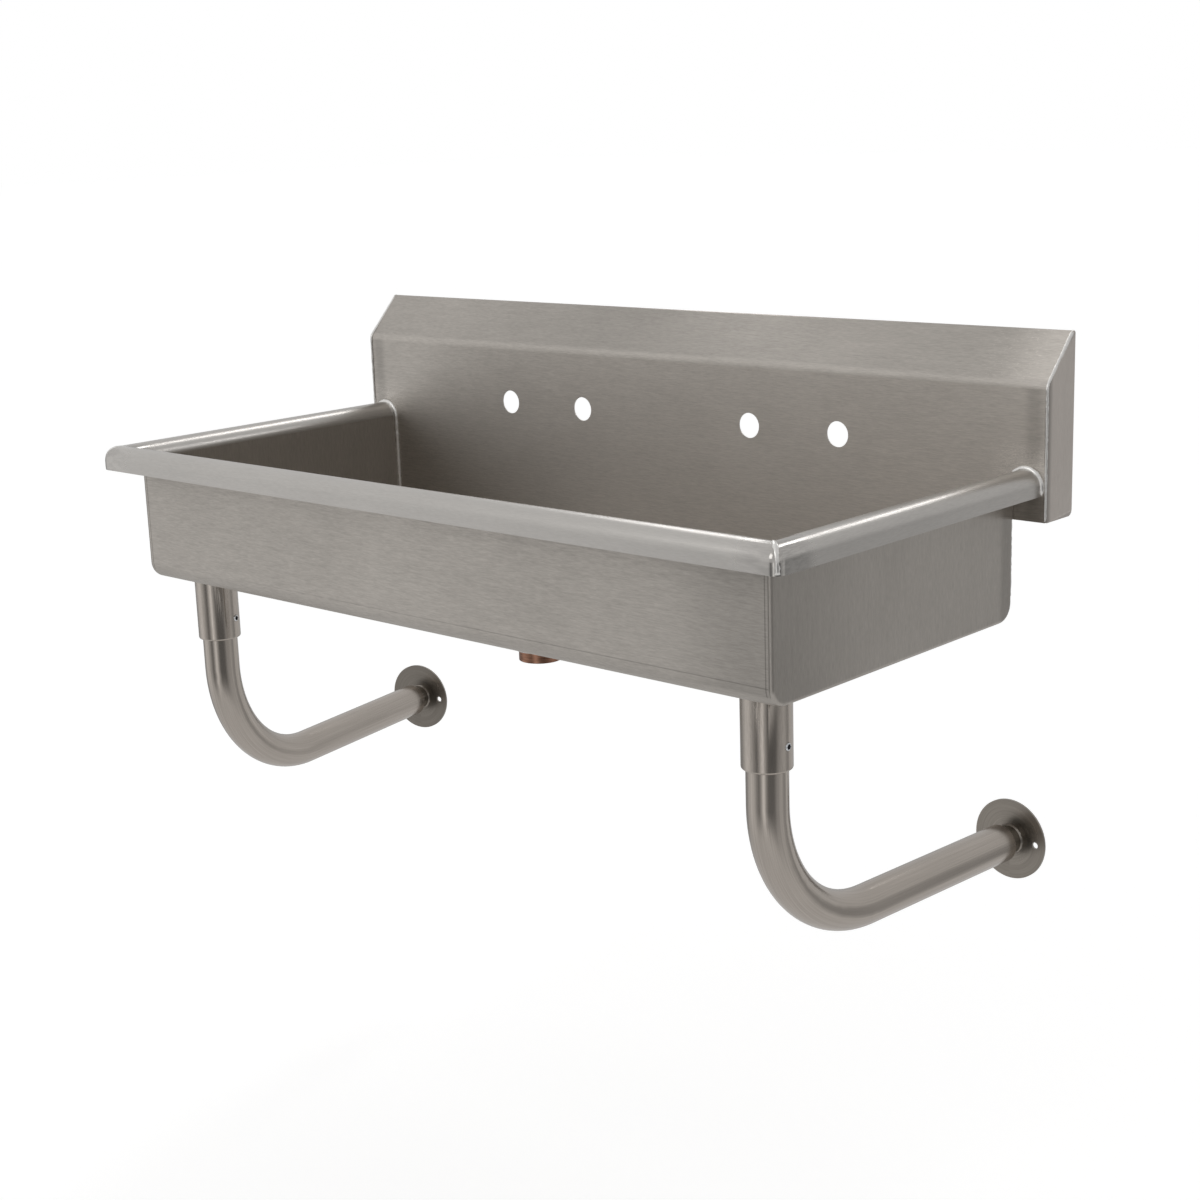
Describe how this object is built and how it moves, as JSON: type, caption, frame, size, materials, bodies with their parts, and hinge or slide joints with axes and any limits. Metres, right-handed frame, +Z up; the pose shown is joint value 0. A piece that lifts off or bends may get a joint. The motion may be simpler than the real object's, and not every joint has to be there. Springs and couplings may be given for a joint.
{
  "type": "trough sink",
  "caption": "Wall hung trough sink of folded stainless sheet: one long bowl with a rolled rim, a high splash with faucet holes, a floor drain, and bent tube arms with round wall flanges.",
  "frame": {"origin": "middle of the turned down rear edge of the splash, on the wall plane", "axes": "+X along the sink to the right, +Y from the front rim to the wall, +Z up"},
  "size_m": [1.0449, 0.486, 0.5993],
  "materials": {
    "sheet_steel": "brushed",
    "tube_steel": "satin",
    "turned_steel": "turned",
    "plated_steel": "zinc plated",
    "drain_metal": "polished",
    "brass": "as cast",
    "copper": "dull copper",
    "rubber": "matt",
    "fibre": "matt"
  },
  "bodies": {
    "sink": {"basin_sheet": "sheet_steel", "left_end_panel": "sheet_steel", "right_end_panel": "sheet_steel", "left_splash_cap": "sheet_steel", "right_splash_cap": "sheet_steel", "left_arm_socket": "tube_steel", "right_arm_socket": "tube_steel", "drain_body": "drain_metal", "drain_gasket": "rubber", "drain_friction_ring": "fibre", "drain_locknut": "brass", "outlet_nipple": "copper"},
    "left_arm": {"left_arm_tube": "tube_steel", "left_tube_insert": "plated_steel"},
    "right_arm": {"right_arm_tube": "tube_steel", "right_tube_insert": "plated_steel"},
    "left_stem": {"left_foot_stem": "plated_steel", "left_flange_stub": "turned_steel"},
    "right_stem": {"right_foot_stem": "plated_steel", "right_flange_stub": "turned_steel"},
    "left_foot": {"left_flange_disc": "turned_steel"},
    "right_foot": {"right_flange_disc": "turned_steel"},
    "left_screw": {"left_set_screw": "plated_steel"},
    "right_screw": {"right_set_screw": "plated_steel"},
    "basket": {"basket_cup": "drain_metal"},
    "plug": {"basket_post": "drain_metal", "basket_stopper": "rubber"}
  },
  "joints": [
    {"name": "left_arm_swing", "type": "hinge", "parent": "sink", "child": "left_arm", "pos_m": [-0.418, -0.3975, -0.53986], "axis": [0, 0, 1], "range_deg": [-101, 79]},
    {"name": "left_foot_travel", "type": "slide", "parent": "left_arm", "child": "left_stem", "axis": [-0.1908, 0.9816, 0], "range_m": [-0.00982, 0.00787]},
    {"name": "left_foot_turn", "type": "hinge", "parent": "left_stem", "child": "left_foot", "pos_m": [-0.49327, -0.01025, -0.53986], "axis": [-0.1908, 0.9816, 0], "range_deg": [-1800, 1440]},
    {"name": "right_arm_swing", "type": "hinge", "parent": "sink", "child": "right_arm", "pos_m": [0.418, -0.3975, -0.53986], "axis": [0, 0, 1], "range_deg": [-86, 94]},
    {"name": "right_foot_travel", "type": "slide", "parent": "right_arm", "child": "right_stem", "axis": [0.0698, 0.9976, 0], "range_m": [-0.00982, 0.00787]},
    {"name": "right_foot_turn", "type": "hinge", "parent": "right_stem", "child": "right_foot", "pos_m": [0.44552, -0.00396, -0.53986], "axis": [0.0698, 0.9976, 0], "range_deg": [-1800, 1440]},
    {"name": "left_screw_travel", "type": "slide", "parent": "sink", "child": "left_screw", "axis": [0.9511, 0.309, 0], "range_m": [0, 0.003]},
    {"name": "right_screw_travel", "type": "slide", "parent": "sink", "child": "right_screw", "axis": [1, 0, 0], "range_m": [0, 0.003]},
    {"name": "basket_lift", "type": "slide", "parent": "sink", "child": "basket", "axis": [0, 0, 1], "range_m": [0, 0.06]},
    {"name": "plug_lift", "type": "slide", "parent": "basket", "child": "plug", "axis": [0, 0, 1], "range_m": [0, 0.008]}
  ],
  "couplings": [
    {"joint": "left_foot_travel", "follows": "left_foot_turn", "m_per_rad": 0.00031099},
    {"joint": "right_foot_travel", "follows": "right_foot_turn", "m_per_rad": 0.00031099}
  ]
}
